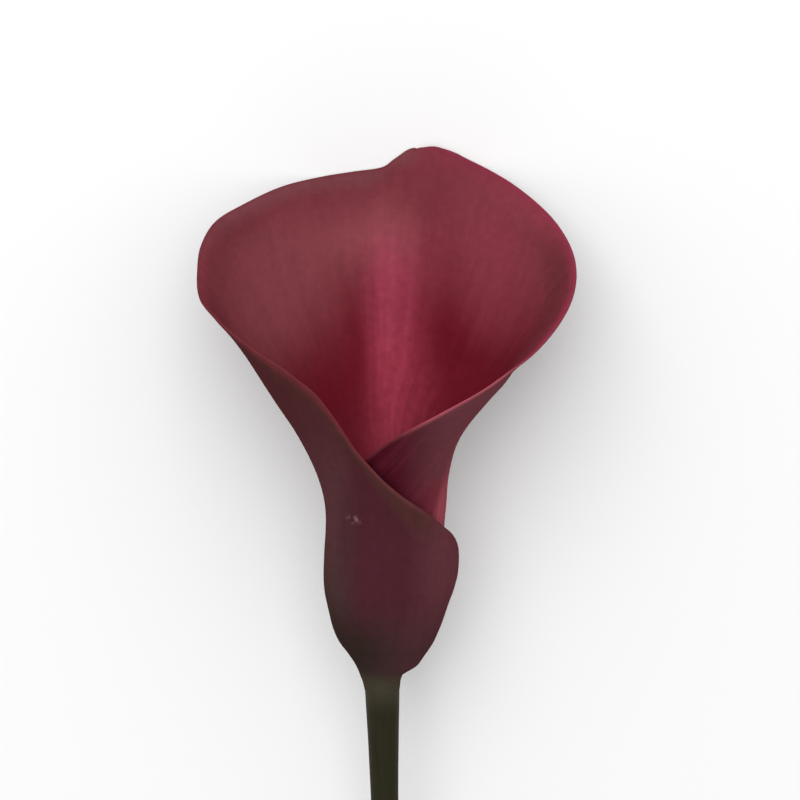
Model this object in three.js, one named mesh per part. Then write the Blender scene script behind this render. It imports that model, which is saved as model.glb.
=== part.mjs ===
// A cut calla lily laid on its back with its mouth up: a stem, the spathe that is rolled into a
// funnel at its top, and the spadix that stands inside the funnel. Millimetres, +Z up.
// The flower is shaped in its own frame, whose origin is the foot of the spathe: +X to the right,
// +Y up the flower, +Z out of its front. Angles run round +Y from the front, positive to the right.
// At the end the whole flower is laid down, so that the back of the bloom and the cut end of the
// stem touch the ground at z = 0.

import * as THREE from "three";

// Driving dimensions
const STEM_LENGTH = 246;
const NECK_RADIUS = 3.6;
const SPADIX_LENGTH = 38;
const SHEET = 0.95; // thickness of the spathe in its tube
const SHEET_AT_RIM = 0.65;
const OVERLAP_STEP = 1.6; // how far the outer turn of the spathe stands out from the inner one
const LAID_TILT = THREE.MathUtils.degToRad(4.5); // the bloom's end of the axis is the higher one
const FOOT_PLACE = new THREE.Vector3(-0.24, 72.2, 22.92); // foot of the spathe, once it is laid down

const DEGREE = Math.PI / 180;
const COLUMNS = 96; // from one edge of the spathe to the other
const ROWS = 24; // from its foot to its rim

// The value at x of a smooth curve through [x, value] stations, level beyond the first and last.
function along(stations, x) {
  const last = stations.length - 1;
  const at = THREE.MathUtils.clamp(x, stations[0][0], stations[last][0]);
  let i = 0;
  while (i < last - 1 && at > stations[i + 1][0]) i += 1;
  const width = (k) => stations[k + 1][0] - stations[k][0];
  const slope = (k) => (stations[k + 1][1] - stations[k][1]) / width(k);
  const tangent = (k) => {
    if (k === 0) return slope(0);
    if (k === last) return slope(last - 1);
    return (slope(k - 1) * width(k) + slope(k) * width(k - 1)) / (width(k - 1) + width(k));
  };
  const t = (at - stations[i][0]) / width(i);
  const rise = stations[i + 1][1] - stations[i][1];
  const ease = t * t * (3 - 2 * t);
  const lean = t * (1 - t) * ((1 - t) * tangent(i) - t * tangent(i + 1));
  return stations[i][1] + rise * ease + width(i) * lean;
}

const smooth = (x) => THREE.MathUtils.smoothstep(x, 0, 1);

// The funnel's level sections are ellipses. Each table gives one of their measures by height.
const HALF_WIDTH = [[0, 3.1], [4, 4.8], [11, 9.2], [17, 10.5], [26, 10.7], [35, 10.9], [42, 12.1],
  [50, 15.3], [58, 20.7], [66, 26.1], [74, 31.6], [82, 35.9], [90, 38.7], [102, 41], [110, 42.4]];
const HALF_DEPTH = [[0, 3.1], [4, 4.8], [11, 9.2], [17, 10.5], [26, 10.8], [35, 11.1], [42, 12.3],
  [50, 15], [58, 18.5], [66, 22.4], [74, 26.2], [82, 29.8], [92, 34], [102, 37.4], [110, 39.6]];
const FORWARD = [[0, 0], [24, 0], [34, 0.2], [42, 0.8], [50, 2], [58, 3.8], [66, 5.8], [74, 7.2],
  [82, 7.6], [92, 6.8], [102, 4.6], [110, 3]];
const SIDEWAYS = [[0, -0.6], [12, -0.6], [22, -0.1], [35, 0.55], [42, -0.1], [50, -1],
  [58, -0.7], [66, -0.3], [82, -0.1], [110, 0.5]];

// The border of the unrolled spathe, as [angle, height]: the free edge that lies inside the roll,
// from its foot, then the rim over the tip at the back, then the free edge of the outer turn, which
// wraps a second time round the front.
const INNER_SIDE = [[80, 0], [80, 5], [62, 8], [22, 12], [-20, 17.5], [-46, 24], [-52, 31]];
const RIM = [[-52, 31], [-44, 38], [-29, 44], [-11, 47.6], [12, 52.7], [32, 57.2], [50, 61.8],
  [63, 65.2], [74, 69.2], [87, 75.8], [104, 83], [121, 89.8], [137, 96.1], [150, 100.6],
  [159, 103.6], [164, 105.8], [167.5, 108.2], [171, 106.4], [175, 104.1], [178.5, 102.2],
  [182, 100.5], [190, 99.6], [200, 98.8], [211, 97.3], [224, 94.3], [236, 91.4], [246, 87],
  [255, 82.3], [266, 79], [279, 77], [292, 73.6], [304, 69.4], [314, 66.7], [322, 64.4],
  [329, 61.9], [335, 58.1], [339.5, 54.3], [344.5, 50.6], [351, 46.9], [360, 43.3],
  [374, 40], [392, 37.3], [414, 33.9], [434, 31], [449, 27.6], [457, 22.5]];
const OUTER_SIDE = [[437, 0], [438, 2.4], [450, 9], [457, 16], [457, 22.5]];
const FOOT_HEIGHT = 0.3; // clear of the stem's shoulder

const byHeight = (border) => border.map(([angle, height]) => [height, angle]);
const rimCurve = new THREE.SplineCurve(RIM.map(([angle, height]) => new THREE.Vector2(angle, height)));
const innerSide = byHeight(INNER_SIDE);
const outerSide = byHeight(OUTER_SIDE);
const innerEdge = [...innerSide, ...byHeight(RIM.slice(1, 11))];
const CLEARING_TURN = 100; // degrees over which the sheet steps outwards

// How far the rim is rolled outwards, by its angle, and over what width of the sheet.
const LIP = [[-52, 0], [-11, 0.2], [12, 0.4], [50, 1.1], [74, 2], [104, 2.4], [137, 3],
  [152, 3.2], [164, 2], [182, 1.4], [224, 2], [255, 2], [279, 1.5], [304, 1.1], [335, 0.6],
  [360, 0.4], [457, 0.4]];
const LIP_WIDTH = 8;

// How far the free lobe of the outer turn stands off the roll, by height.
const LOBE = [[0, 0], [8, 0.1], [14, 0.4], [20, 1], [25, 1.6], [29, 1.3], [36, 0]];
const LOBE_ANGLE = 405; // where it begins to leave it

// The tip: above this height the sheet is bent back on a small radius, and it is arched off the
// ground there, to leave room for what is folded under.
const FOLD_HEIGHT = 103.2;
const FOLD_RADIUS = 1.7;
const TIP_ANGLE = 167.5;
const ARCH = 4.2;
const ARCH_HALF_TURN = 14;

// How far the outer turn has stepped out at an angle and height.
function stepOut(angle, height) {
  const turned = angle - (along(innerEdge, height) + 360 - CLEARING_TURN);
  const step = OVERLAP_STEP * (0.2 + 0.8 * smooth(height / 4)) * smooth(turned / CLEARING_TURN);
  return step + along(LOBE, height) * smooth((angle - LOBE_ANGLE) / (457 - LOBE_ANGLE));
}

// A point of the funnel before its lip is rolled.
function onFunnel(angle, height) {
  const a = angle * DEGREE;
  const step = stepOut(angle, height);
  const arch = ARCH * Math.exp(-(((angle - TIP_ANGLE) / ARCH_HALF_TURN) ** 2)) * smooth((height - 86) / 14);
  return new THREE.Vector3(
    along(SIDEWAYS, height) + (along(HALF_WIDTH, height) + step) * Math.sin(a),
    height,
    along(FORWARD, height) + (along(HALF_DEPTH, height) + step) * Math.cos(a) + arch,
  );
}

// The direction up the funnel and the direction out of it, at an angle and height.
function funnelFrame(angle, height) {
  const nudge = 0.05;
  const up = onFunnel(angle, height + nudge).sub(onFunnel(angle, height - nudge)).normalize();
  const round = onFunnel(angle + nudge, height).sub(onFunnel(angle - nudge, height)).normalize();
  return { up, out: new THREE.Vector3().crossVectors(round, up).normalize() };
}

// A point of the spathe's middle surface, by its share across the sheet and its share up to the rim.
// Its angle is blended between the foot, the rim and both side edges.
function onSpathe(across, upwards) {
  const { lerp } = THREE.MathUtils;
  const rim = rimCurve.getPoint(across);
  const height = lerp(FOOT_HEIGHT, rim.y, upwards);
  const bow = (edge, first, last) => along(edge, upwards * edge.at(-1)[0]) - lerp(first, last, upwards);
  const angle = lerp(lerp(80, 437, across), rim.x, upwards)
    + (1 - across) * bow(innerSide, 80, -52)
    + across * bow(outerSide, 437, 457);
  const level = Math.min(height, FOLD_HEIGHT);
  const point = onFunnel(angle, level);
  const { up, out } = funnelFrame(angle, level);
  const bend = (height - level) / FOLD_RADIUS;
  point.addScaledVector(up, FOLD_RADIUS * Math.sin(bend));
  point.addScaledVector(out, FOLD_RADIUS * (1 - Math.cos(bend)));
  const nearRim = THREE.MathUtils.clamp(1 - (rim.y - level) / LIP_WIDTH, 0, 1);
  return point.addScaledVector(out, along(LIP, rim.x) * nearRim ** 2);
}

// Sets a point that is too close to the ground down at the clearance given, so that what the flower
// rests on is flat.
const groundUp = new THREE.Vector3(0, Math.sin(LAID_TILT), Math.cos(LAID_TILT));
const SETTLING = 0.3;
function pressed(point, clearance) {
  const above = point.dot(groundUp) + FOOT_PLACE.z - clearance;
  return above < SETTLING ? point.addScaledVector(groundUp, -above) : point;
}

// A closed mesh from a list of points and a list of faces with three or four corners.
function closedMesh(name, points, faces, look) {
  const triangles = faces.flatMap(([a, b, c, d]) => (d === undefined ? [a, b, c] : [a, b, c, a, c, d]));
  const geometry = new THREE.BufferGeometry().setFromPoints(points).setIndex(triangles);
  geometry.computeVertexNormals();
  const mesh = new THREE.Mesh(geometry, new THREE.MeshStandardMaterial(look));
  mesh.name = name;
  return mesh;
}

// The spathe: a sheet of even rows and columns, given its thickness on both sides.
function spathe() {
  const rowShare = (j) => {
    const even = j / ROWS;
    return 0.45 * even + 0.55 * (0.5 - 0.5 * Math.cos(Math.PI * even));
  };
  const thickness = (upwards) => THREE.MathUtils.lerp(SHEET, SHEET_AT_RIM, smooth((upwards - 0.6) / 0.4));
  const middle = [];
  for (let i = 0; i <= COLUMNS; i += 1) {
    for (let j = 0; j <= ROWS; j += 1) {
      const upwards = rowShare(j);
      middle.push(pressed(onSpathe(i / COLUMNS, upwards), thickness(upwards) / 2));
    }
  }
  const at = (i, j) => i * (ROWS + 1) + j;
  const outside = [];
  const inside = [];
  for (let i = 0; i <= COLUMNS; i += 1) {
    for (let j = 0; j <= ROWS; j += 1) {
      const across = middle[at(Math.min(i + 1, COLUMNS), j)].clone().sub(middle[at(Math.max(i - 1, 0), j)]);
      const upwards = middle[at(i, Math.min(j + 1, ROWS))].clone().sub(middle[at(i, Math.max(j - 1, 0))]);
      const out = across.cross(upwards).normalize();
      const half = thickness(rowShare(j)) / 2;
      const point = middle[at(i, j)];
      outside.push(pressed(point.clone().addScaledVector(out, half), 0));
      inside.push(pressed(point.clone().addScaledVector(out, -half), 0));
    }
  }
  const back = outside.length;
  const faces = [];
  for (let i = 0; i < COLUMNS; i += 1) {
    for (let j = 0; j < ROWS; j += 1) {
      faces.push([at(i, j), at(i + 1, j), at(i + 1, j + 1), at(i, j + 1)]);
      faces.push([back + at(i, j), back + at(i, j + 1), back + at(i + 1, j + 1), back + at(i + 1, j)]);
    }
  }
  const border = [];
  for (let i = 0; i < COLUMNS; i += 1) border.push(at(i, 0));
  for (let j = 0; j < ROWS; j += 1) border.push(at(COLUMNS, j));
  for (let i = COLUMNS; i > 0; i -= 1) border.push(at(i, ROWS));
  for (let j = ROWS; j > 0; j -= 1) border.push(at(0, j));
  border.forEach((from, k) => {
    const to = border[(k + 1) % border.length];
    faces.push([to, from, back + from, back + to]);
  });
  return closedMesh("spathe", [...outside, ...inside], faces, { color: 0x6b2630, roughness: 0.55 });
}

// A closed tube through level rings of points, each ring having the same number of them.
function ringTube(name, rings, look) {
  const sides = rings[0].length;
  const centre = (ring) => ring.reduce((sum, p) => sum.add(p), new THREE.Vector3()).divideScalar(sides);
  const last = rings.length - 1;
  const points = [...rings.flat(), centre(rings[0]), centre(rings[last])];
  const at = (i, j) => j * sides + (i % sides);
  const faces = [];
  for (let j = 0; j < last; j += 1) {
    for (let i = 0; i < sides; i += 1) {
      faces.push([at(i, j), at(i + 1, j), at(i + 1, j + 1), at(i, j + 1)]);
    }
  }
  for (let i = 0; i < sides; i += 1) {
    faces.push([at(i + 1, 0), at(i, 0), points.length - 2]);
    faces.push([at(i, last), at(i + 1, last), points.length - 1]);
  }
  return closedMesh(name, points, faces, look);
}

// The stem, a slightly bowed column with a slanting cut, and at its top a shoulder and a short peg:
// the foot of the spathe sits round the peg and the spadix stands on it.
const STEM_RADIUS = [[-STEM_LENGTH, 4.35], [-150, 3.6], [-60, 2.9], [-22, 2.75], [-9, 3.1],
  [-2, 3.55], [0, NECK_RADIUS]];
const STEM_SIDEWAYS = [[-STEM_LENGTH, 1], [-170, 3.4], [-90, 2.4], [-24, -0.1], [-9, -0.5], [0, -0.6]];
const CUT_SLANT = 0.7;
const PEG_RADIUS = 2.25;
const PEG_TOP = 3;
const STEM_SIDES = 20;
const STEM_STEPS = 40;

function stem() {
  const ring = (y, radius, slant) => {
    const points = [];
    for (let i = 0; i < STEM_SIDES; i += 1) {
      const a = (2 * Math.PI * i) / STEM_SIDES;
      const x = along(STEM_SIDEWAYS, y) + radius * Math.sin(a);
      const z = radius * Math.cos(a);
      points.push(pressed(new THREE.Vector3(x, y + slant * (z - radius), z), 0));
    }
    return points;
  };
  const rings = [];
  for (let j = 0; j <= STEM_STEPS; j += 1) {
    const y = -STEM_LENGTH * (1 - j / STEM_STEPS) ** 1.3;
    rings.push(ring(y, along(STEM_RADIUS, y), CUT_SLANT * smooth(1 - (y + STEM_LENGTH) / 14)));
  }
  rings.push(ring(0, PEG_RADIUS, 0), ring(PEG_TOP, PEG_RADIUS, 0));
  return ringTube("stem", rings, { color: 0x35301f, roughness: 0.6 });
}

// The spadix, a slim round-ended finger. Its whole surface is tiny florets, set in staggered rows
// and raised from it here as low pyramids: every second corner of the grid stands out.
const SPADIX_RADIUS = [[0, 2.1], [3, 3], [10, 3.2], [24, 3], [33, 2.6], [36, 2.1], [37.4, 1.3],
  [SPADIX_LENGTH, 0.5]];
const SPADIX_LEAN = 0.6;
const FLORET_HEIGHT = 0.35;
const SPADIX_SIDES = 26;
const SPADIX_STEPS = 56;

function spadix() {
  const rings = [];
  for (let j = 0; j <= SPADIX_STEPS; j += 1) {
    const up = SPADIX_LENGTH * (1 - (1 - j / SPADIX_STEPS) ** 1.15);
    const atEnd = j === 0 || j === SPADIX_STEPS;
    rings.push([]);
    for (let i = 0; i < SPADIX_SIDES; i += 1) {
      const a = (2 * Math.PI * i) / SPADIX_SIDES;
      const raised = !atEnd && (i + j) % 2 === 0 ? FLORET_HEIGHT : 0;
      const radius = along(SPADIX_RADIUS, up) + raised;
      const x = -0.6 + SPADIX_LEAN * smooth(up / SPADIX_LENGTH) + radius * Math.sin(a);
      rings[j].push(new THREE.Vector3(x, PEG_TOP + 0.3 + up, radius * Math.cos(a)));
    }
  }
  return ringTube("spadix", rings, { color: 0xb98a2e, roughness: 0.8 });
}

const flower = new THREE.Group();
flower.add(stem(), spathe(), spadix());
flower.rotation.x = LAID_TILT;
flower.position.copy(FOOT_PLACE);

const part = new THREE.Group();
part.add(flower);

export default part;
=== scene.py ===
"""A cut calla lily laid on its back with its mouth up: the burgundy spathe that is rolled into a
funnel, the golden spadix inside it, and the stem that both stand on. Metres, +Z up.

Every piece is worked out in the flower's own frame, whose origin is the foot of the spathe: +X to the
right, +Y up the flower, +Z out of its front, with angles in degrees round +Y from the front, positive
to the right. laid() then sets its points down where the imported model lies, at z = 0.
"""

from math import cos, pi, radians, sin

import bpy
import numpy as np
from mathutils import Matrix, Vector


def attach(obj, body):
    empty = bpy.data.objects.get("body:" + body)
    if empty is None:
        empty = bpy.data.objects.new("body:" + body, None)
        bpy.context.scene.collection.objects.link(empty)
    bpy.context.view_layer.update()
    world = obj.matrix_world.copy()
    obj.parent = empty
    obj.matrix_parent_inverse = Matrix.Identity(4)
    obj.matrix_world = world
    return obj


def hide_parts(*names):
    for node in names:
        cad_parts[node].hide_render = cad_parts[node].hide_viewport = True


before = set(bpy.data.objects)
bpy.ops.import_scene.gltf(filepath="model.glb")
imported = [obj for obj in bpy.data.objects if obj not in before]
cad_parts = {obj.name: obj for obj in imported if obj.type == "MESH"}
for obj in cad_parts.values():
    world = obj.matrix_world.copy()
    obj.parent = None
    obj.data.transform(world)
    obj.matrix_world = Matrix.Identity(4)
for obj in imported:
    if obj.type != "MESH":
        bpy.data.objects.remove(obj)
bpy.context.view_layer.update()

# The spathe: one leathery sheet, rolled once and a quarter round its own foot. It is a tube low down,
# flares into a funnel, and its rim runs over a small tip that is bent back at the far side. Its left
# margin comes down across the front and ends in a free lobe outside the roll.
LAID_TILT = radians(4.5)  # the bloom's end of the axis is the higher one
FOOT_PLACE = np.array([-0.00024, 0.0722, 0.02292])  # foot of the spathe, once it is laid down
GROUND_UP = np.array([0, sin(LAID_TILT), cos(LAID_TILT)])

SHEET = 0.00095
SHEET_AT_RIM = 0.00065
MARGIN = 0.00034  # the sheet thins out to this at its free edge
MARGIN_WIDTH = 0.003
OVERLAP_STEP = 0.0016  # how far the outer turn stands out from the inner one
CLEARING_TURN = 100  # degrees over which the sheet steps outwards
STEP_FROM = 0.0012  # the step is 0 up to this height, and comes in over STEP_RISE
STEP_RISE = 0.0028
FOOT_HEIGHT = -0.0018
FOOT_SKIN = 0.0001  # the foot runs out to this on the stalk, from its full thickness at FOOT_THICK
FOOT_THICK = 0.0010
COLUMNS = 400
ROWS = 112
EVEN_ROWS = 0.22  # share of even steps in the rows' spacing

# The funnel's level sections are circles low down and ellipses above. Each table gives one of their
# measures by height.
ROUND_FOOT = [
    (-.0018, .00348), (-.0009, .00355), (.0002, .0036), (.0012, .0039), (.0036, .0049),
    (.006, .0064), (.0085, .0082), (.011, .0093), (.017, .0105),
]
HALF_WIDTH = ROUND_FOOT + [
    (.026, .0107), (.035, .0109), (.042, .0121), (.050, .01545), (.058, .02095), (.0615, .0235),
    (.066, .0262), (.074, .0316), (.082, .0359), (.090, .0387), (.102, .0410), (.110, .0424),
]
HALF_DEPTH = ROUND_FOOT + [
    (.026, .0108), (.035, .0111), (.042, .0123), (.050, .0150), (.058, .0185), (.066, .0224),
    (.074, .0262), (.082, .0298), (.092, .0340), (.102, .0374), (.110, .0396),
]
FORWARD = [
    (0, 0), (.024, 0), (.034, .0002), (.042, .0008), (.050, .0020), (.058, .0038), (.066, .0058),
    (.074, .0072), (.082, .0076), (.092, .0068), (.102, .0046), (.110, .0030),
]
SIDEWAYS = [
    (0, -.0006), (.012, -.0006), (.022, -.0001), (.031, .0006), (.036, .0007), (.042, .0001),
    (.050, -.00095), (.058, -.00055), (.0615, -.0001), (.066, -.0001), (.082, -.0001), (.110, .0005),
]

# The border of the unrolled sheet as (angle, height): the free edge inside the roll, from its foot,
# then the rim from there over the tip to the lobe, and the free edge of the outer turn.
INNER_SIDE = [(80, 0), (80, .005), (62, .008), (22, .012), (-20, .0175), (-46, .024), (-52, .031)]
RIM = [
    (-52, .0310), (-44, .0380), (-29, .0440), (-11, .0476), (12, .0527), (32, .0572), (50, .0618),
    (63, .0652), (74, .0692), (87, .0758), (104, .0830), (121, .0898), (137, .0960), (150, .1009),
    (159, .1036), (161.5, .1043), (164, .1053), (167.5, .1082), (171, .1064), (175, .1041),
    (178.5, .1022), (182, .1005), (190, .0996), (200, .0986), (211, .0971), (224, .0941), (236, .0912),
    (246, .0870), (255, .0823), (266, .0790), (279, .0770), (292, .0736), (304, .0694),
    (314, .0667), (320, .0645), (327, .0618), (333, .0582), (338.5, .0544), (344, .0505),
    (351, .0469), (360, .0433), (374, .0398), (392, .0367), (414, .0332), (434, .0303),
    (449, .0268), (457, .0215),
]
OUTER_SIDE = [(439.5, 0), (440, .0024), (446, .0039), (453, .006), (457, .012), (457, .0215)]
RIM_OVER_INNER_EDGE = 11  # the rim's first points go on as the inner edge

# How far the rim is rolled outwards by its angle, and how far the lobe stands off the roll by height.
LIP = [
    (-52, 0), (-11, .0002), (12, .0004), (50, .0009), (62, .0012), (74, .0021), (87, .0025),
    (104, .0026), (137, .0030), (152, .0032), (164, .0020), (182, .0014), (224, .0020), (255, .0020),
    (279, .0013), (292, .0010), (304, .0007), (335, .0006), (360, .0004), (457, .0004),
]
LIP_WIDTH = 0.008
LOBE = [
    (0, 0), (.002, .0002), (.0036, .0007), (.006, .0007), (.009, .0003), (.013, .0004), (.0165, .0009),
    (.019, .0015), (.022, .0019), (.025, .0018), (.029, .0012), (.036, 0),
]
LOBE_ANGLE = 405

# The tip is bent back on a small radius above the fold, and the sheet is arched off the ground there.
FOLD_HEIGHT = 0.1033
FOLD_RADIUS = 0.0017
TIP_ANGLE = 167.5
ARCH = 0.0042
ARCH_HALF_TURN = 14
ARCH_FROM = 0.086
ARCH_RISE = 0.014


def smooth(x):
    """0 below 0, 1 above 1, and 3x^2 - 2x^3 between."""
    x = np.clip(x, 0, 1)
    return x * x * (3 - 2 * x)


def along(stations, x):
    """A curve through (x, value) stations: a cubic between each two, whose slope at a station is the
    mean of the slopes beside it, each weighted by the other's width. It is level beyond the ends."""
    at, value = np.array(stations, float).T
    width = np.diff(at)
    slope = np.diff(value) / width
    tangent = np.concatenate([slope[:1], slope[:-1] * width[1:] + slope[1:] * width[:-1], slope[-1:]])
    tangent[1:-1] /= width[:-1] + width[1:]
    x = np.clip(x, at[0], at[-1])
    i = np.clip(np.searchsorted(at, x) - 1, 0, len(width) - 1)
    t = (x - at[i]) / width[i]
    rise = (value[i + 1] - value[i]) * t * t * (3 - 2 * t)
    lean = t * (1 - t) * ((1 - t) * tangent[i] - t * tangent[i + 1])
    return value[i] + rise + width[i] * lean


def through(points, share):
    """A uniform Catmull-Rom curve through the points: a cubic between each two, whose slope at a point
    is half the step between its neighbours."""
    points = np.array(points, float)
    last = len(points) - 1
    i = np.minimum((share * last).astype(int), last - 1)
    t = (share * last - i)[..., None]
    before, start, end, after = (points[np.clip(i + k, 0, last)] for k in (-1, 0, 1, 2))
    leave = (end - before) / 2
    arrive = (after - start) / 2
    bend = 3 * (end - start) - 2 * leave - arrive
    return start + leave * t + bend * t**2 + (2 * (start - end) + leave + arrive) * t**3


def by_height(border):
    """The same border as (height, angle)."""
    return [(height, angle) for angle, height in border]


def step_out(angle, height):
    """How far the outer turn has stepped out: the overlap's step, eased in over the clearing turn
    before the sheet passes its own inner edge, plus the lobe's stand-off, eased in towards its edge."""
    inner_edge = by_height(INNER_SIDE + RIM[1:RIM_OVER_INNER_EDGE])
    turned = angle - (along(inner_edge, height) + 360 - CLEARING_TURN)
    step = OVERLAP_STEP * smooth((height - STEP_FROM) / STEP_RISE) * smooth(turned / CLEARING_TURN)
    return step + along(LOBE, height) * smooth((angle - LOBE_ANGLE) / (OUTER_SIDE[-1][0] - LOBE_ANGLE))


def on_funnel(angle, height):
    """The ellipse of that height at that angle, stepped out, with the arch added under the tip: a
    bell curve by angle, eased in by height."""
    turn = np.radians(angle)
    step = step_out(angle, height)
    bell = np.exp(-(((angle - TIP_ANGLE) / ARCH_HALF_TURN) ** 2))
    arch = ARCH * bell * smooth((height - ARCH_FROM) / ARCH_RISE)
    x = along(SIDEWAYS, height) + (along(HALF_WIDTH, height) + step) * np.sin(turn)
    z = along(FORWARD, height) + (along(HALF_DEPTH, height) + step) * np.cos(turn) + arch
    return np.stack([x, height, z], -1)


def unit(vectors):
    """The vectors at length 1."""
    return vectors / np.linalg.norm(vectors, axis=-1, keepdims=True)


def unrolled(across, upwards):
    """The angle and height of a point of the sheet by its share across and its share up to the rim, and
    those of the rim above it. Height runs evenly from the foot to the rim, and the angle is blended
    between the foot, the rim and both side edges."""
    rim_angle, rim_height = np.moveaxis(through(RIM, across), -1, 0)
    height = FOOT_HEIGHT + (rim_height - FOOT_HEIGHT) * upwards
    foot_angle = INNER_SIDE[0][0] + (OUTER_SIDE[0][0] - INNER_SIDE[0][0]) * across
    straight = (1 - upwards) * foot_angle + upwards * rim_angle
    inner_bow, outer_bow = (
        along(by_height(side), upwards * side[-1][1]) - side[0][0] - (side[-1][0] - side[0][0]) * upwards
        for side in (INNER_SIDE, OUTER_SIDE))
    return straight + (1 - across) * inner_bow + across * outer_bow, height, rim_angle, rim_height


def on_spathe(across, upwards):
    """A point of the sheet. Above the fold it follows a small circle, and near the rim it is moved
    outwards by the lip, times the square of how near it is."""
    angle, height, rim_angle, rim_height = unrolled(across, upwards)
    level = np.minimum(height, FOLD_HEIGHT)
    nudge = 0.00005
    up = unit(on_funnel(angle, level + nudge) - on_funnel(angle, level - nudge))
    turn_nudge = 0.05
    turning = unit(on_funnel(angle + turn_nudge, level) - on_funnel(angle - turn_nudge, level))
    out = unit(np.cross(turning, up))
    bend = ((height - level) / FOLD_RADIUS)[..., None]
    near_rim = np.clip(1 - (rim_height - level) / LIP_WIDTH, 0, 1)
    lip = (along(LIP, rim_angle) * near_rim**2)[..., None]
    fold = FOLD_RADIUS * (np.sin(bend) * up + (1 - np.cos(bend)) * out)
    return on_funnel(angle, level) + fold + lip * out


def pressed(points, clearance):
    """Points that would come closer to the ground than the clearance are lifted up to it."""
    above = points @ GROUND_UP + FOOT_PLACE[2] - clearance
    return points - np.minimum(above, 0)[..., None] * GROUND_UP


def laid(points):
    """Points of the flower's frame where they lie: tilted about +X, then moved to the foot's place."""
    x, y, z = np.moveaxis(points, -1, 0)
    tilted = [x, y * cos(LAID_TILT) - z * sin(LAID_TILT), y * sin(LAID_TILT) + z * cos(LAID_TILT)]
    return np.stack(tilted, -1) + FOOT_PLACE


def grid_faces(numbers):
    """The four corners of each cell of a grid of point numbers, in turn from its first."""
    corners = [numbers[:-1, :-1], numbers[1:, :-1], numbers[1:, 1:], numbers[:-1, 1:]]
    return np.stack(corners, -1).reshape(-1, 4).tolist()


def new_piece(name, points, faces, finish):
    """A smooth mesh of the laid points, with its finish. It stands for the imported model's node of that
    name, and the record's material slot has the same name."""
    mesh = bpy.data.meshes.new(name + "_surface")
    mesh.from_pydata(laid(points).tolist(), [], faces)
    mesh.shade_smooth()
    mesh.materials.append(finish.material)
    piece = bpy.data.objects.new(name + "_surface", mesh)
    bpy.context.scene.collection.objects.link(piece)
    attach(piece, "root")
    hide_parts(name)
    return piece


# Rows lie closer together towards the foot and the rim, and the sheet is thinner near the rim.
even = np.linspace(0, 1, ROWS + 1)
row_share = EVEN_ROWS * even + (1 - EVEN_ROWS) * (0.5 - 0.5 * np.cos(pi * even))
across, upwards = np.meshgrid(np.linspace(0, 1, COLUMNS + 1), row_share, indexing="ij")
sheet = SHEET + (SHEET_AT_RIM - SHEET) * smooth((upwards - 0.6) / 0.4)
middle = pressed(on_spathe(across, upwards), sheet / 2)


def run(points, axis):
    """The length of each of a grid's lines from its start to each point on it."""
    steps = np.linalg.norm(np.diff(points, axis=axis), axis=-1)
    return np.concatenate([np.zeros_like(np.take(steps, [0], axis)), np.cumsum(steps, axis)], axis)


to_rim = run(middle[:, ::-1], 1)[:, ::-1]
to_sides = np.minimum(run(middle, 0), run(middle[::-1], 0)[::-1])
from_edge = np.minimum(to_rim, to_sides)
half = (MARGIN + (sheet - MARGIN) * smooth(from_edge / MARGIN_WIDTH))[..., None] / 2
at_foot = smooth((FOOT_THICK - middle[..., 1:2]) / (FOOT_THICK - FOOT_HEIGHT))
half += (FOOT_SKIN / 2 - half) * at_foot
out = unit(np.cross(np.gradient(middle, axis=0), np.gradient(middle, axis=1)))

# Between its outer and its inner face the sheet has a half-round edge, in rings along the whole border.
EDGE_TURNS = np.radians([45, 90, 135])
number = np.arange(across.size).reshape(across.shape)
border = np.concatenate([number[:-1, 0], number[-1, :-1], number[:0:-1, -1], number[0, :0:-1]])
edge_middle, edge_out, edge_half = (grid.reshape(across.size, -1)[border] for grid in (middle, out, half))
away = unit(np.cross(np.roll(edge_middle, -1, 0) - np.roll(edge_middle, 1, 0), edge_out))
edge_rings = [edge_middle + edge_half * (np.cos(a) * edge_out + np.sin(a) * away) for a in EDGE_TURNS]
ring_numbers = [np.arange(len(border)) + 2 * across.size + k * len(border) for k in range(len(edge_rings))]
rings = np.stack([border, *ring_numbers, border + across.size])
both_faces = [(middle + out * half).reshape(-1, 3), (middle - out * half).reshape(-1, 3)]


class Signal:
    """An output socket of a finish. Arithmetic on it adds Math nodes."""

    def __init__(self, finish, socket):
        self.finish = finish
        self.socket = socket

    def math(self, operation, first, second):
        return self.finish.node("Math", {0: first, 1: second}, operation=operation)

    def __add__(self, other):
        return self.math("ADD", self, other)

    def __sub__(self, other):
        return self.math("SUBTRACT", self, other)

    def __rsub__(self, other):
        return self.math("SUBTRACT", other, self)

    def __mul__(self, other):
        return self.math("MULTIPLY", self, other)

    __radd__ = __add__
    __rmul__ = __mul__


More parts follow.
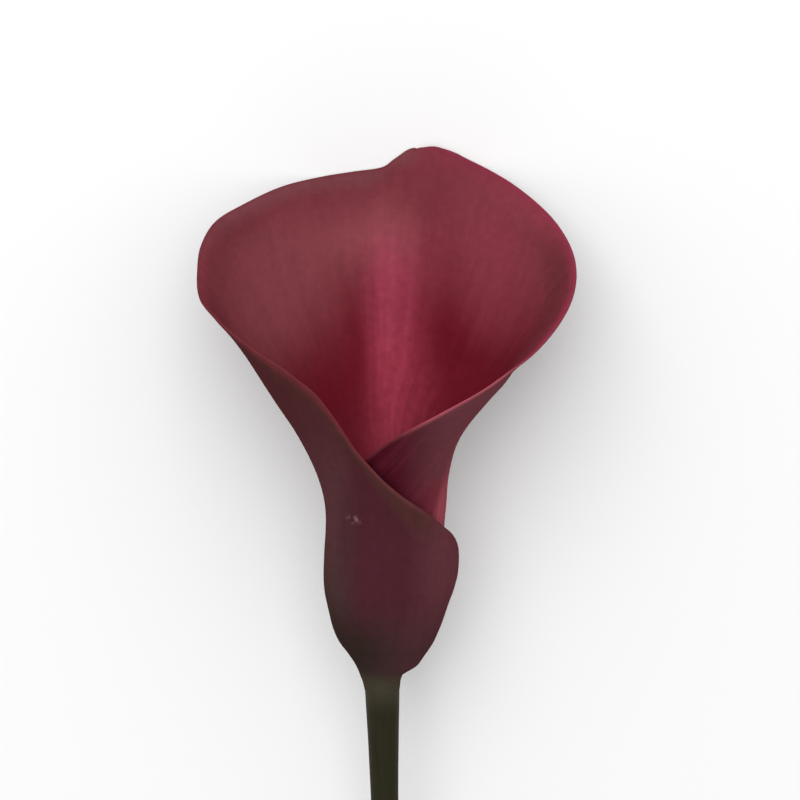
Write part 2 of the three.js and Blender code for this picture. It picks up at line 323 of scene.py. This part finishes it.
class Finish:
    """A material of one Principled shader, whose constant values are given by the names of its sockets."""

    def __init__(self, name, constants):
        self.material = bpy.data.materials.new(name)
        self.material.use_nodes = True
        self.tree = self.material.node_tree
        self.shader = self.tree.nodes["Principled BSDF"]
        self.fill(self.shader, constants)

    def fill(self, node, inputs):
        """Links a node's inputs to signals, or sets them to values."""
        for socket, value in inputs.items():
            if isinstance(value, Signal):
                self.tree.links.new(value.socket, node.inputs[socket])
            else:
                node.inputs[socket].default_value = value

    def node(self, kind, inputs, output=0, **settings):
        """A new node of that kind: its settings are set first, then its inputs. Returns one output."""
        made = self.tree.nodes.new("ShaderNode" + kind)
        for name, value in settings.items():
            setattr(made, name, value)
        self.fill(made, inputs)
        return Signal(self, made.outputs[output])

    def measure(self, name):
        """A measure that the piece carries at its points."""
        return self.node("Attribute", {}, "Fac", attribute_name=name)

    def rise(self, value, low, high):
        """0 where the value is at low, 1 where it is at high, smooth between and level beyond."""
        inputs = {"Value": value, "From Min": low, "From Max": high}
        return self.node("MapRange", inputs, interpolation_type="SMOOTHSTEP")

    def blend(self, share, under, over, how="MIX"):
        """A colour over another by a share."""
        return self.node("Mix", {0: share, 6: under, 7: over}, 2, data_type="RGBA", blend_type=how)

    def patch(self, place, centre, size):
        """1 at the centre of an ellipsoid of those half sizes, and smoothly down to 0 at its surface."""
        inputs = {"Vector": place, "Location": centre, "Scale": size}
        from_centre = self.node("Mapping", inputs, vector_type="TEXTURE")
        return self.rise(self.node("VectorMath", {0: from_centre}, "Value", operation="LENGTH"), 1.0, 0.0)

    def noise(self, place, scale, detail=2.0):
        """Smooth noise from 0 to 1 with about that many lumps to a unit of length."""
        return self.node("TexNoise", {"Vector": place, "Scale": scale, "Detail": detail})


def seen(red, green, blue):
    """A colour given as a screen shows it, from 0 to 255, as the shader's linear values."""
    share = np.array([red, green, blue]) / 255
    linear = np.where(share > 0.04045, ((share + 0.055) / 1.055) ** 2.4, share / 12.92)
    return (*linear.tolist(), 1.0)


petal = Finish("velvet_burgundy", {
    "Specular IOR Level": 0.0, "Metallic": 0.12, "Specular Tint": seen(190, 100, 120)})
in_object = petal.node("TexCoord", {}, "Object")
in_flower = petal.node(
    "Mapping", {"Vector": in_object, "Location": FOOT_PLACE.tolist(), "Rotation": (LAID_TILT, 0, 0)},
    vector_type="TEXTURE")
to_right = petal.node("SeparateXYZ", {0: in_flower}, "X")
up_flower = petal.node("SeparateXYZ", {0: in_flower}, "Y")
to_front = petal.node("SeparateXYZ", {0: in_flower}, "Z")
inside = petal.measure("inside")
from_margin = petal.measure("from_margin")
turned = petal.measure("turned")
across_share = petal.measure("across")

# Fine veins run up the sheet from its foot and fan out to the rim; streaks of a few veins go with them.
vein_line = petal.node("CombineXYZ", {"X": turned * 0.033, "Y": up_flower * 0.10})
veins = petal.noise(vein_line, 1300.0, 3.0)
streaks = petal.noise(vein_line, 360.0, 3.0)
clouds = petal.noise(in_object, 60.0)
mottle = petal.noise(in_object, 600.0, 3.0)
nap = petal.noise(in_object, 4200.0)

# Inside, the limb is dusty burgundy and the throat a darker, clearer red that reaches up highest beside
# the midrib, partly its own colour and partly painted shade where the throat's walls turn from the light.
# Patches of the limb are paler or darker, partly painted sheen and painted shade, and the midrib is a
# magenta ridge, partly its own colour and partly a painted highlight.
# The dark throat reaches up highest beside the midrib: painted shade where the walls turn from the light.
towards_sides = 0.018 * petal.rise(to_right, -0.005, -0.026) + 0.008 * petal.rise(to_right, 0.012, 0.022)
fibred = up_flower + towards_sides + 0.008 * (streaks - 0.5)
throat_and_shade = petal.blend(petal.rise(up_flower, 0.070, 0.052), seen(104, 23, 36), seen(113, 28, 42))
mouth = petal.blend(petal.rise(fibred, 0.091, 0.067), seen(124, 56, 64), throat_and_shade)
# Paler patches are partly a painted sheen and darker ones partly painted shade, in place of shallow folds.
for centre, size, share, colour in (
    ((-0.020, 0.079, 0), (0.021, 0.029, 1), 0.56, seen(134, 69, 76)),
    ((-0.005, 0.087, 0), (0.015, 0.012, 1), 0.40, seen(142, 74, 82)),
    ((0.022, 0.082, 0), (0.013, 0.024, 1), 0.50, seen(138, 52, 69)),
    ((-0.026, 0.094, 0), (0.020, 0.009, 1), 0.45, seen(108, 46, 54)),
    ((-0.010, 0.094, 0), (0.024, 0.009, 1), 0.40, seen(106, 44, 52)),
    ((0.011, 0.098, 0), (0.019, 0.011, 1), 0.50, seen(108, 43, 53)),
    ((0.011, 0.084, 0), (0.009, 0.017, 1), 0.55, seen(122, 44, 58)),
    ((0.003, 0.1035, 0), (0.006, 0.0045, 1), 0.75, seen(136, 88, 91)),
    ((-0.0040, 0.046, 0), (0.011, 0.013, 1), 0.60, seen(130, 43, 59)),
):
    mouth = petal.blend(petal.patch(in_flower, centre, size) * share, mouth, colour)
# The magenta ridge along the midrib is partly its own colour and partly a painted highlight.
right_flank = petal.rise(to_right - 0.0024 * petal.rise(up_flower, 0.072, 0.056), 0.0122, -0.0028)
ridge_highlight = petal.rise(to_right, -0.0064, 0.0012) * right_flank * petal.rise(up_flower, 0.1010, 0.0750)
magenta_and_highlight = petal.blend(petal.rise(up_flower, 0.078, 0.094), seen(161, 64, 87), seen(144, 74, 81))
magenta_and_highlight = petal.blend(petal.rise(up_flower, 0.074, 0.060), magenta_and_highlight, seen(160, 59, 78))
mouth = petal.blend(ridge_highlight * (0.09 + streaks + 0.35 * mottle + 0.40 * clouds), mouth, magenta_and_highlight)

# A darker band runs along the rim, painted shade where the sheet curls out to the lip, and behind the roll
# it is darkest. At the upper right it is paler, a painted highlight. On the roll itself the rim is magenta
# at the right, a painted highlight, and greyer at the upper left, and brown at the lobe.
# Painted shade behind the roll of the lip.
behind_roll_shade = petal.rise(from_margin, 0.0004, 0.0030) * petal.rise(from_margin, 0.0120, 0.0040)
right_side = petal.rise(to_right, 0.016, 0.032) * petal.rise(up_flower, 0.096, 0.078)
left_side = petal.rise(to_right, -0.020, -0.031)
mouth = petal.blend(behind_roll_shade * (0.72 * right_side + 0.4 * left_side), mouth, seen(84, 37, 43))
# Near the rim at the upper right the band is paler: a painted highlight.
upper_right_highlight = petal.rise(to_right, 0.004, 0.011) * petal.rise(up_flower, 0.082, 0.092)
rim_shade_and_highlight = petal.blend(upper_right_highlight, seen(110, 46, 55), seen(138, 55, 71))
mouth = petal.blend(petal.rise(from_margin, 0.0090, 0.0020) * 0.5, mouth, rim_shade_and_highlight)
# The magenta on the roll at the right is a painted highlight.
roll_highlight = petal.rise(from_margin, 0.0022, 0.0002) * petal.rise(to_right, 0.004, 0.014)
mouth = petal.blend(roll_highlight * petal.rise(up_flower, 0.055, 0.070) * 0.5, mouth, seen(148, 46, 76))
grey_roll = petal.rise(from_margin, 0.0060, 0.0010) * petal.rise(up_flower, 0.082, 0.094)
mouth = petal.blend(grey_roll * petal.rise(to_right, 0.008, -0.006) * 0.4, mouth, seen(120, 76, 82))
lobe_edge = petal.rise(from_margin, 0.0050, 0.0015) * petal.rise(up_flower, 0.049, 0.040)
mouth = petal.blend(lobe_edge * 0.9, mouth, seen(82, 45, 46))

# Outside it is browner: greyer along the left side, partly a painted sheen, purple in the middle of the
# lobe with a dark stripe at its left, paler at its right as painted light, brown towards the margin and
# the foot, and olive where it runs out on the stalk. The left margin has a thin red line, and a pale
# scuff lies over the stripe.
# Greyer along the left side: partly a painted sheen.
left_with_sheen = petal.blend(petal.rise(up_flower, 0.033, 0.017), seen(86, 53, 57), seen(68, 49, 48))
outer = petal.blend(petal.rise(to_right, -0.010, -0.004), left_with_sheen, seen(76, 36, 44))
dark_stripe = petal.patch(in_flower, (-0.0076, 0.031, 0.01), (0.0035, 0.013, 0.02)) * 0.55
outer = petal.blend(dark_stripe, outer, seen(64, 38, 40))
# Paler towards the right: painted light.
outer = petal.blend(petal.rise(to_right, 0.003, 0.012) * 0.8, outer, seen(100, 56, 62))
outer = petal.blend(petal.rise(up_flower, 0.034, 0.060) * 0.85, outer, seen(77, 39, 42))
brown_rim = petal.rise(from_margin, 0.0100, 0.0020) * petal.rise(to_right, 0.0115, 0.0065)
outer = petal.blend(brown_rim * 0.75, outer, seen(80, 48, 45))
higher = petal.rise(up_flower, 0.040, 0.056)
near_margin = petal.rise(from_margin * (1.0 - 0.6 * higher), 0.0018, 0.0)
left_margin = near_margin * petal.rise(to_right, 0.0105, 0.0040) * petal.rise(up_flower, 0.030, 0.034)
margin_red = petal.blend(higher, seen(102, 55, 56), seen(110, 49, 55))
outer = petal.blend(left_margin, outer, margin_red)
brown = petal.blend(petal.rise(to_right, -0.006, 0.007), seen(51, 41, 36), seen(76, 47, 51))
outer = petal.blend(petal.rise(up_flower, 0.021, 0.007), outer, brown)
scuffed = petal.patch(in_flower, (-0.0058, 0.0350, 0.011), (0.0024, 0.0014, 0.006))
scratches = petal.rise(petal.noise(in_object, 900.0, 4.0), 0.44, 0.64)
outer = petal.blend(scuffed * scratches * 0.8, outer, seen(140, 104, 110))
ragged = up_flower + 0.005 * (streaks - 0.5)
outer = petal.blend(petal.rise(ragged, 0.0035, -0.0005), outer, seen(66, 61, 49))

# The part of the first turn that shows beside the lobe is deep purple in the corner, darkened there as
# painted shadow under the lobe, and redder at its right, with slanting streaks and a pink right edge that
# is a painted highlight.
corner_right = petal.blend(petal.rise(up_flower, 0.045, 0.038), seen(108, 61, 67), seen(122, 52, 65))
# Darkest beside the lobe, as painted shadow under it.
corner_shade_and_highlight = petal.blend(petal.rise(to_right, 0.000, 0.015), seen(72, 16, 29), corner_right)
slant_line = petal.node("CombineXYZ", {"X": to_right - 0.9 * up_flower, "Y": 0.12 * up_flower})
slants = petal.rise(petal.noise(slant_line, 430.0, 4.0), 0.44, 0.70)
corner_shade_and_highlight = petal.blend(slants * 0.16, corner_shade_and_highlight, seen(124, 56, 72))
# The pink right edge is a painted highlight.
right_edge_highlight = petal.rise(to_right - 0.3 * (up_flower - 0.037), 0.0092, 0.0118)
low_front = petal.rise(up_flower, 0.056, 0.038) * petal.rise(to_front, -0.006, 0.004)
corner_shade_and_highlight = petal.blend(right_edge_highlight * low_front * (0.6 + 0.8 * streaks), corner_shade_and_highlight, seen(152, 75, 86))
first_turn = petal.rise(across_share, 0.24, 0.18) * petal.rise(up_flower, 0.080, 0.060)
outer = petal.blend(first_turn * petal.rise(up_flower, 0.024, 0.030), outer, corner_shade_and_highlight)

# The edge between the two faces is paler, painted light through the thin margin, most of all along the
# right margin at the front, where it is a painted highlight of the rim rolling out to the light.
colour = petal.blend(inside, outer, mouth)
# Painted light through the thin margin.
edge_glow = petal.rise(from_margin, 0.0008, 0.0001) * petal.rise(up_flower, 0.038, 0.048)
edge_glow_colour = petal.blend(petal.rise(to_right, 0.000, 0.010), seen(110, 52, 57), seen(140, 62, 74))
colour = petal.blend(edge_glow * 0.5, colour, edge_glow_colour)
# A painted highlight along the right margin at the front.
right_front = petal.rise(to_right, 0.001, 0.012) * petal.rise(up_flower, 0.067, 0.063)
front_highlight_line = petal.rise(from_margin, 0.0014, 0.0002) * petal.rise(up_flower, 0.0465, 0.0500)
colour = petal.blend(front_highlight_line * right_front * 0.85, colour, seen(166, 84, 96))
shade = 0.555 + 0.15 * veins + 0.16 * streaks + 0.24 * clouds + 0.28 * mottle + 0.06 * nap
colour = petal.node("HueSaturation", {"Color": colour, "Value": shade})
relief = veins * 0.6 + streaks + nap * 0.25
bump = petal.node("Bump", {"Height": relief, "Strength": 0.35, "Distance": 0.0002}, "Normal")
petal.fill(petal.shader, {
    "Base Color": colour, "Roughness": 0.42 + 0.12 * clouds + 0.08 * nap, "Normal": bump})

spathe = new_piece(
    "spathe", pressed(np.concatenate([*both_faces, *edge_rings]), 0),
    grid_faces(number) + [face[::-1] for face in grid_faces(number + across.size)]
    + grid_faces(np.concatenate([rings, rings[:, :1]], 1)), petal)


def set_measure(piece, name, values):
    """A number at each point of the piece, which its finish reads by name."""
    data = piece.data.attributes.new(name, "FLOAT", "POINT").data
    data.foreach_set("value", np.asarray(values, np.float32))


def on_sheet(grid):
    """The grid's numbers on the outer face, the inner face and the rings of the edge between them."""
    flat = np.broadcast_to(grid, across.shape).ravel()
    return np.concatenate([flat, flat, np.tile(flat[border], len(edge_rings))])


set_measure(spathe, "from_margin", on_sheet(from_edge))
set_measure(spathe, "turned", on_sheet(np.radians(unrolled(across, upwards)[0])))
set_measure(spathe, "across", on_sheet(across))
round_edge = np.repeat((1 - np.cos(EDGE_TURNS)) / 2, len(border))
set_measure(spathe, "inside", np.concatenate([np.zeros(across.size), np.ones(across.size), round_edge]))

# The spadix: a fleshy finger on top of the stem, covered in florets without petals. The upper ones are
# packed dull gold stamens, and the lower ones greener ovaries.
SPADIX_LENGTH = 0.038
SPADIX_FOOT = 0.0033
SPADIX_RADIUS = [
    (0, .0021), (.003, .0030), (.010, .0032), (.024, .0030), (.033, .0026), (.0355, .0021),
    (.0370, .0014), (.0377, .0008), (.038, .0002),
]
SPADIX_SIDEWAYS = -0.0006  # its foot, on the stem's top
SPADIX_LEAN = 0.0006
FLORETS = 620
FLORET_RADIUS = 0.00069
FLORET_HEIGHT = 0.0004
FLORET_SUNK = 0.3  # share of that height that the gaps between florets go into the skin
SPADIX_SIDES = 120
SPADIX_STEPS = 300


def tube_faces(rows, columns):
    """The faces of a grid of points whose last column meets its first, closed by a cap at each end."""
    numbers = np.arange(rows * columns).reshape(rows, columns)
    numbers = np.concatenate([numbers, numbers[:, :1]], 1)
    sides = [face[::-1] for face in grid_faces(numbers)]
    return sides + [numbers[0, -1:0:-1].tolist(), numbers[-1, :-1].tolist()]


def on_spadix(up, turn, bump=0.0):
    """A point of the finger at a height and a turn, raised square from its smooth skin by a bump."""
    slope = (along(SPADIX_RADIUS, up + 1e-5) - along(SPADIX_RADIUS, up - 1e-5)) / 2e-5
    outwards = bump / np.hypot(1, slope)
    radius = along(SPADIX_RADIUS, up) + outwards
    lean = SPADIX_SIDEWAYS + SPADIX_LEAN * smooth(up / SPADIX_LENGTH)
    return np.stack([
        lean + radius * np.sin(turn), SPADIX_FOOT + up - slope * outwards, radius * np.cos(turn)], -1)


# Each floret is a dome a golden angle on from the last, on an even share of the finger's skin.
fine_up = np.linspace(0, SPADIX_LENGTH, 4000)
fine_radius = along(SPADIX_RADIUS, fine_up)
skin_run = np.cumsum(np.hypot(1, np.gradient(fine_radius, fine_up)))
skin_area = np.cumsum(fine_radius * np.gradient(skin_run))
floret = np.arange(FLORETS)
floret_up = np.interp((floret + 0.5) / FLORETS, skin_area / skin_area[-1], fine_up)
florets = on_spadix(floret_up, floret * pi * (3 - 5**0.5))
spadix_up, spadix_turn = np.meshgrid(
    np.interp(np.linspace(0, 1, SPADIX_STEPS + 1), skin_run / skin_run[-1], fine_up),
    np.linspace(0, 2 * pi, SPADIX_SIDES, endpoint=False), indexing="ij")
smooth_skin = on_spadix(spadix_up, spadix_turn)
nearest = np.full(spadix_up.shape, 1.0)
for centre in florets:
    nearest = np.minimum(nearest, np.linalg.norm(smooth_skin - centre, axis=-1))
dome = np.sqrt(np.clip(1 - (nearest / FLORET_RADIUS) ** 2, 0, 1))
spadix_points = on_spadix(spadix_up, spadix_turn, FLORET_HEIGHT * (dome - FLORET_SUNK))

pollen = Finish("golden_florets", {"Specular IOR Level": 0.25, "Subsurface Weight": 0.1,
                                   "Subsurface Scale": 0.001})
on_floret = pollen.measure("dome")
spadix_place = pollen.node("TexCoord", {}, "Object")
grain = pollen.noise(spadix_place, 5200.0)
gold = pollen.blend(pollen.rise(on_floret, 0.35, 0.95), seen(104, 62, 24), seen(206, 158, 66))
gold = pollen.blend(pollen.rise(pollen.measure("height"), 0.013, 0.008), gold, seen(134, 132, 70))
pollen.fill(pollen.shader, {
    "Base Color": pollen.node("HueSaturation", {"Color": gold, "Value": 0.75 + 0.5 * grain}),
    "Roughness": 0.62 + 0.2 * grain,
    "Normal": pollen.node("Bump", {"Height": grain, "Strength": 0.4, "Distance": 0.0001}, "Normal"),
})
spadix = new_piece(
    "spadix", spadix_points.reshape(-1, 3), tube_faces(SPADIX_STEPS + 1, SPADIX_SIDES), pollen)
set_measure(spadix, "dome", dome.ravel())
set_measure(spadix, "height", spadix_up.ravel())

# The stem: a smooth, fleshy, round stalk, cut off at a slant. At its top are a shoulder and a short peg
# that the foot of the spathe sits round.
STEM_LENGTH = 0.246
NECK_RADIUS = 0.0034
STEM_RADIUS = [
    (-STEM_LENGTH, .00435), (-.150, .0036), (-.060, .0029), (-.022, .0028), (-.009, .0032),
    (-.003, .00343), (-.0018, .00346), (0, NECK_RADIUS),
]
STEM_SIDEWAYS = [
    (-STEM_LENGTH, .0010), (-.170, .0034), (-.090, .0024), (-.024, -.0001), (-.009, -.0004), (0, -.0006),
]
CUT_RADIUS = STEM_RADIUS[0][1]
CUT_SLANT = 0.7
CUT_REACH = 0.014  # height over which the rings turn level
CUT_DISH = 0.0004
BEND_EASE = 0.0003
SHOULDER = 0.0005
PEG_RADIUS = 0.00225
PEG_TOP = 0.003
PEG_BEVEL = 0.0003
RIBS = 22
RIB_HEIGHT = 0.00004
STEM_SIDES = 88
STEM_STEPS = 260

# Each row of the grid is a ring at a height. The first rings widen out over the cut face, and the last
# ones go over the shoulder and up the peg. Ribs fade out towards both ends of the stalk.
cut_share = np.linspace(0.06, 0.98, 12)
up_stalk = np.linspace(0, 1, STEM_STEPS + 1)
stalk_height = -SHOULDER - (STEM_LENGTH - SHOULDER) * (1 - up_stalk) ** 1.3
over_shoulder = np.radians(np.linspace(20, 90, 5))
ring_height = np.concatenate([
    np.full(len(cut_share), -STEM_LENGTH), stalk_height,
    -SHOULDER + SHOULDER * np.sin(over_shoulder), [0.0, PEG_TOP - PEG_BEVEL, PEG_TOP],
])
ring_radius = np.concatenate([
    cut_share * CUT_RADIUS, along(STEM_RADIUS, stalk_height),
    NECK_RADIUS - SHOULDER * (1 - np.cos(over_shoulder)), [PEG_RADIUS, PEG_RADIUS, PEG_RADIUS - PEG_BEVEL],
])
stalk_radius = along(STEM_RADIUS, ring_height)
stem_turn = np.linspace(0, 2 * pi, STEM_SIDES, endpoint=False)
on_stalk = smooth((ring_height + STEM_LENGTH) / 0.012) * smooth(-ring_height / 0.02)
ribbed = ring_radius[:, None] + RIB_HEIGHT * on_stalk[:, None] * np.cos(RIBS * stem_turn)
slant = CUT_SLANT * smooth(1 - (ring_height + STEM_LENGTH) / CUT_REACH)

# The stalk's end bends up just enough to lie on the ground instead of in it: each ring is lifted by how
# far its lowest point would go under, rounded off over BEND_EASE.
lowest = (ring_height - 2 * slant * stalk_radius) * GROUND_UP[1] - stalk_radius * GROUND_UP[2]
above = lowest + FOOT_PLACE[2]
lift = (np.hypot(above, BEND_EASE) - above) / 2
dished = np.zeros_like(ring_height)
dished[:len(cut_share)] = CUT_DISH * (1 - cut_share**4)
stem_points = np.stack([
    along(STEM_SIDEWAYS, ring_height)[:, None] + ribbed * np.sin(stem_turn),
    (ring_height + dished - slant * stalk_radius)[:, None] + slant[:, None] * ribbed * np.cos(stem_turn),
    ribbed * np.cos(stem_turn) + lift[:, None],
], -1)

stalk = Finish("olive_stalk", {"Specular IOR Level": 0.05})
stem_place = stalk.node("TexCoord", {}, "Object")
stem_up = stalk.measure("height")
long_place = stalk.node("Mapping", {"Vector": stem_place, "Scale": (1, 0.06, 1)})
fibres = stalk.noise(long_place, 1500.0)
blotches = stalk.noise(long_place, 260.0)
green = stalk.blend(stalk.rise(stem_up, -0.14, -0.01), seen(60, 62, 34), seen(42, 39, 26))
green = stalk.blend(stalk.rise(blotches, 0.5, 0.72) * 0.45, green, seen(44, 34, 26))
green = stalk.blend(stalk.rise(stem_up, -0.007, -0.001), green, seen(60, 55, 43))
pores = stalk.rise(stalk.noise(stem_place, 3400.0), 0.52, 0.66)
pith = stalk.blend(pores * 0.55, seen(190, 196, 148), seen(146, 156, 104))
pith = stalk.blend(stalk.rise(stalk.measure("to_skin"), 0.80, 0.96), pith, seen(104, 116, 62))
green = stalk.blend(stalk.measure("cut"), green, pith)
stalk.fill(stalk.shader, {
    "Base Color": stalk.node("HueSaturation", {"Color": green, "Value": 0.8 + 0.4 * fibres}),
    "Roughness": 0.4 + 0.2 * fibres,
    "Normal": stalk.node("Bump", {"Height": fibres, "Strength": 0.3, "Distance": 0.0001}, "Normal"),
})
stem = new_piece(
    "stem", pressed(stem_points.reshape(-1, 3), 0), tube_faces(len(ring_height), STEM_SIDES), stalk)
set_measure(stem, "height", np.repeat(ring_height, STEM_SIDES))
set_measure(stem, "cut", np.repeat(np.arange(len(ring_height)) < len(cut_share), STEM_SIDES))
set_measure(stem, "to_skin", np.repeat(np.clip(ring_radius / CUT_RADIUS, 0, 1), STEM_SIDES))

# The plain pale floor that the flower lies on, under an even white surround and one soft lamp beyond the
# bloom, like a window.
floor_mesh = bpy.data.meshes.new("floor")
floor_mesh.from_pydata([(-2, -2, 0), (2, -2, 0), (2, 2, 0), (-2, 2, 0)], [], [(0, 1, 2, 3)])
floor_finish = Finish("white_paper", {"Base Color": seen(250, 250, 250), "Roughness": 0.9,
                                      "Specular IOR Level": 0.1})
floor_mesh.materials.append(floor_finish.material)
floor = bpy.data.objects.new("floor", floor_mesh)
bpy.context.scene.collection.objects.link(floor)

surround = bpy.data.worlds.new("white_surround")
surround.use_nodes = True
surround.node_tree.nodes["Background"].inputs["Color"].default_value = (1, 1, 1, 1)
surround.node_tree.nodes["Background"].inputs["Strength"].default_value = 0.66
bpy.context.scene.world = surround

BLOOM_MIDDLE = Vector((0, 0.135, 0.03))
WINDOW_PLACE = Vector((-0.15, 0.62, 1.15))
window_light = bpy.data.lights.new("window", "AREA")
window_light.size = 1.1
window_light.energy = 8.5
window = bpy.data.objects.new("window", window_light)
window.location = WINDOW_PLACE
window.rotation_euler = (BLOOM_MIDDLE - WINDOW_PLACE).to_track_quat("-Z", "Y").to_euler()
bpy.context.scene.collection.objects.link(window)

# The camera looks down on the front of the flower from 9 degrees towards its tip, as in the photo.
CAMERA_RISE = radians(9)
CAMERA_DISTANCE = 0.6
VIEW_CENTRE = np.array([0.003, 0.056 * cos(CAMERA_RISE), -0.056 * sin(CAMERA_RISE)])
camera_back = np.array([0, sin(CAMERA_RISE), cos(CAMERA_RISE)])
camera_data = bpy.data.cameras.new("camera")
camera_data.lens = 135
camera_data.sensor_width = 36
camera = bpy.data.objects.new("camera", camera_data)
camera.location = laid(VIEW_CENTRE + CAMERA_DISTANCE * camera_back)
camera.rotation_euler = (LAID_TILT - CAMERA_RISE, 0, 0)
bpy.context.scene.collection.objects.link(camera)
bpy.context.scene.camera = camera
bpy.context.scene.view_settings.view_transform = "Standard"
